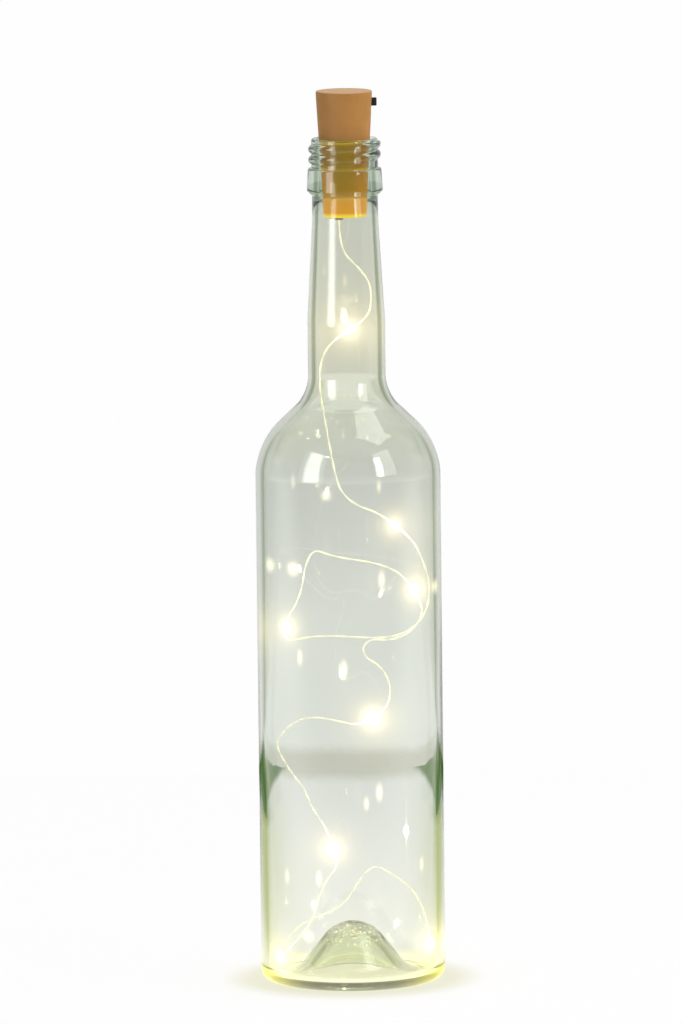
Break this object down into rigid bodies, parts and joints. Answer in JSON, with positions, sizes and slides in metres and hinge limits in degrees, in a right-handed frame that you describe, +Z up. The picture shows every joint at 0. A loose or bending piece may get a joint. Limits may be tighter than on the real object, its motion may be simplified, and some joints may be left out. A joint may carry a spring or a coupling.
{
  "type": "bottle light",
  "caption": "Clear glass bottle lit from inside by a wire string of light drops that hangs from its battery stopper.",
  "frame": {"origin": "the centre of the flat ring that the bottle stands on", "axes": "+Z up along the bottle, +X towards the stopper's switch, -Y towards the front"},
  "size_m": [0.074, 0.074, 0.358],
  "materials": {
    "bottle_glass": "clear glass with a faint grey-green tint",
    "cork_plastic": "moulded plastic with a cork look",
    "carrier_plastic": "black moulded plastic",
    "plated_metal": "nickel-plated spring steel",
    "cell_steel": "steel can",
    "board_laminate": "green laminate",
    "resistor_ceramic": "black ceramic",
    "knob_plastic": "black moulded plastic",
    "bush_rubber": "soft moulded bush",
    "wire_copper": "varnished copper wire",
    "drop_resin": "clear cast resin",
    "chip_phosphor": "warm white light chip"
  },
  "bodies": {
    "bottle": {"bottle": "bottle_glass"},
    "cork_light": {"stopper_shell": "cork_plastic", "battery_carrier": "carrier_plastic", "negative_leaf": "plated_metal", "positive_leaf": "plated_metal", "circuit_board": "board_laminate", "resistor": "resistor_ceramic", "switch_housing": "plated_metal", "wire_bush": "bush_rubber", "inner_lead": "wire_copper", "button_cell_1": "cell_steel", "button_cell_2": "cell_steel", "button_cell_3": "cell_steel", "string_wire": "wire_copper", "led_drop_1": "drop_resin", "led_drop_2": "drop_resin", "led_drop_3": "drop_resin", "led_drop_4": "drop_resin", "led_drop_5": "drop_resin", "led_drop_6": "drop_resin", "led_drop_7": "drop_resin", "led_drop_8": "drop_resin", "led_chip_1": "chip_phosphor", "led_chip_2": "chip_phosphor", "led_chip_3": "chip_phosphor", "led_chip_4": "chip_phosphor", "led_chip_5": "chip_phosphor", "led_chip_6": "chip_phosphor", "led_chip_7": "chip_phosphor", "led_chip_8": "chip_phosphor"},
    "switch_slide": {"switch_knob": "knob_plastic"},
    "battery_lid": {"battery_lid": "cork_plastic", "lid_contact": "plated_metal"}
  },
  "joints": [
    {"name": "stopper_pull", "type": "slide", "parent": "bottle", "child": "cork_light", "axis": [0, 0, 1], "range_m": [0, 0.036]},
    {"name": "switch", "type": "slide", "parent": "cork_light", "child": "switch_slide", "axis": [0, 0, -1], "range_m": [0, 0.002]},
    {"name": "lid_lift", "type": "slide", "parent": "cork_light", "child": "battery_lid", "axis": [0, 0, 1], "range_m": [0, 0.006]}
  ]
}
